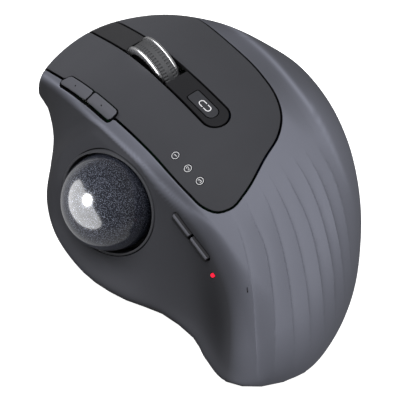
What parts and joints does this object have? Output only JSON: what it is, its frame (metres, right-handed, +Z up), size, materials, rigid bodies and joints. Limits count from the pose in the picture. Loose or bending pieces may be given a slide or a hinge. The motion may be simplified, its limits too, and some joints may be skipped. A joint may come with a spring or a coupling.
{
  "type": "trackball mouse",
  "caption": "Thumb-operated wireless trackball mouse: sculpted right-hand shell, click keys, scroll wheel, side ball in an oval bezel, thumb buttons.",
  "frame": {"origin": "middle of the device's plan box, on the surface it stands on", "axes": "+Z up, +Y towards the front where the keys and the wheel are, +X to the user's right, away from the ball"},
  "size_m": [0.1064, 0.1466, 0.049],
  "materials": {
    "shell_grey": "soft-touch matte",
    "panel_dark": "soft-touch matte",
    "strip_dark": "satin",
    "button_grey": "satin",
    "ball_gloss": "clear gloss over silver specks",
    "ball_core": "moulded",
    "black_plastic": "moulded",
    "tyre_rubber": "ribbed",
    "chrome": "polished",
    "steel": "plain",
    "board_green": "solder resist",
    "switch_white": "moulded",
    "battery_blue": "film wrap",
    "lens_clear": "clear",
    "light_red": "clear red",
    "sign_white": "light pipe",
    "foot_white": "low-friction pad",
    "bead_white": "polished ceramic"
  },
  "bodies": {
    "housing": {"ball_ring": "shell_grey", "ball_socket": "black_plastic", "base_shell": "black_plastic", "battery": "battery_blue", "bearing_bead_1": "bead_white", "bearing_bead_2": "bead_white", "bearing_bead_3": "bead_white", "centre_strip": "strip_dark", "device_light_1": "sign_white", "device_light_2": "sign_white", "device_light_3": "sign_white", "dpi_board": "board_green", "dpi_light": "light_red", "foot_1": "foot_white", "foot_2": "foot_white", "foot_3": "foot_white", "foot_4": "foot_white", "foot_5": "foot_white", "front_cap": "panel_dark", "main_board": "board_green", "panel_rear": "panel_dark", "power_switch": "black_plastic", "screw_1": "steel", "screw_2": "steel", "screw_3": "steel", "screw_4": "steel", "sensor_board": "board_green", "sensor_chip": "black_plastic", "sensor_lens": "lens_clear", "switch_back": "switch_white", "switch_dpi_down": "switch_white", "switch_dpi_up": "switch_white", "switch_forward": "switch_white", "switch_left": "switch_white", "switch_pair": "switch_white", "switch_right": "switch_white", "switch_wheel": "switch_white", "thumb_board": "board_green", "upper_shell": "shell_grey", "usb_c_port": "steel", "wheel_encoder": "black_plastic"},
    "left_click_key": {"left_key": "panel_dark"},
    "right_click_key": {"right_key": "panel_dark"},
    "wheel_frame": {"wheel_carrier": "black_plastic", "wheel_spring": "steel"},
    "wheel": {"wheel_hub": "black_plastic", "wheel_tyre": "tyre_rubber", "wheel_ring_left": "chrome", "wheel_ring_right": "chrome", "wheel_axle": "steel"},
    "pair": {"pair_button": "strip_dark"},
    "forward": {"forward_button": "button_grey"},
    "back": {"back_button": "button_grey"},
    "dpi_up": {"dpi_up_button": "button_grey"},
    "dpi_down": {"dpi_down_button": "button_grey"},
    "ball_inner": {"trackball_core": "ball_core"},
    "ball_outer": {"trackball_shell": "ball_gloss"},
    "slider": {"power_slider": "switch_white"},
    "receiver": {"receiver_body": "black_plastic", "receiver_plug": "steel"}
  },
  "joints": [
    {"name": "left_click", "type": "hinge", "parent": "housing", "child": "left_click_key", "pos_m": [0.00556, -0.00377, 0.044], "axis": [-1, 0, 0], "range_deg": [0, 0.7], "stiffness_Nm_per_rad": 2.5, "springref_deg": -1.15},
    {"name": "right_click", "type": "hinge", "parent": "housing", "child": "right_click_key", "pos_m": [0.00556, -0.00377, 0.044], "axis": [-1, 0, 0], "range_deg": [0, 0.7], "stiffness_Nm_per_rad": 2.5, "springref_deg": -1.15},
    {"name": "wheel_click", "type": "slide", "parent": "housing", "child": "wheel_frame", "axis": [0, 0, -1], "range_m": [0, 0.0006], "stiffness_N_per_m": 1500, "springref_m": -0.0008, "deforming": ["wheel_spring"]},
    {"name": "wheel_spin", "type": "hinge", "parent": "wheel_frame", "child": "wheel", "pos_m": [0.00556, 0.03773, 0.0308], "axis": [1, 0, 0], "continuous": true},
    {"name": "pair_press", "type": "slide", "parent": "housing", "child": "pair", "axis": [0, 0, -1], "range_m": [0, 0.0004], "stiffness_N_per_m": 700, "springref_m": -0.0006},
    {"name": "forward_press", "type": "slide", "parent": "housing", "child": "forward", "axis": [0.4588, -0.4062, -0.7902], "range_m": [0, 0.0004], "stiffness_N_per_m": 700, "springref_m": -0.0006},
    {"name": "back_press", "type": "slide", "parent": "housing", "child": "back", "axis": [0.4588, -0.4062, -0.7902], "range_m": [0, 0.0004], "stiffness_N_per_m": 700, "springref_m": -0.0006},
    {"name": "dpi_up_press", "type": "slide", "parent": "housing", "child": "dpi_up", "axis": [0.8016, 0.1436, -0.5803], "range_m": [0, 0.0004], "stiffness_N_per_m": 700, "springref_m": -0.0006},
    {"name": "dpi_down_press", "type": "slide", "parent": "housing", "child": "dpi_down", "axis": [0.8016, 0.1436, -0.5803], "range_m": [0, 0.0004], "stiffness_N_per_m": 700, "springref_m": -0.0006},
    {"name": "ball_roll_sideways", "type": "hinge", "parent": "housing", "child": "ball_inner", "pos_m": [-0.03434, 0.01173, 0.0205], "axis": [-0.1703, 0.9854, 0], "continuous": true},
    {"name": "ball_roll_lengthways", "type": "hinge", "parent": "ball_inner", "child": "ball_outer", "pos_m": [-0.03434, 0.01173, 0.0205], "axis": [0.5615, 0.0971, 0.8218], "continuous": true},
    {"name": "power_slide", "type": "slide", "parent": "housing", "child": "slider", "axis": [1, 0, 0], "range_m": [0, 0.0048]},
    {"name": "receiver_pull", "type": "slide", "parent": "housing", "child": "receiver", "axis": [0, 0, -1], "range_m": [0, 0.014]}
  ]
}
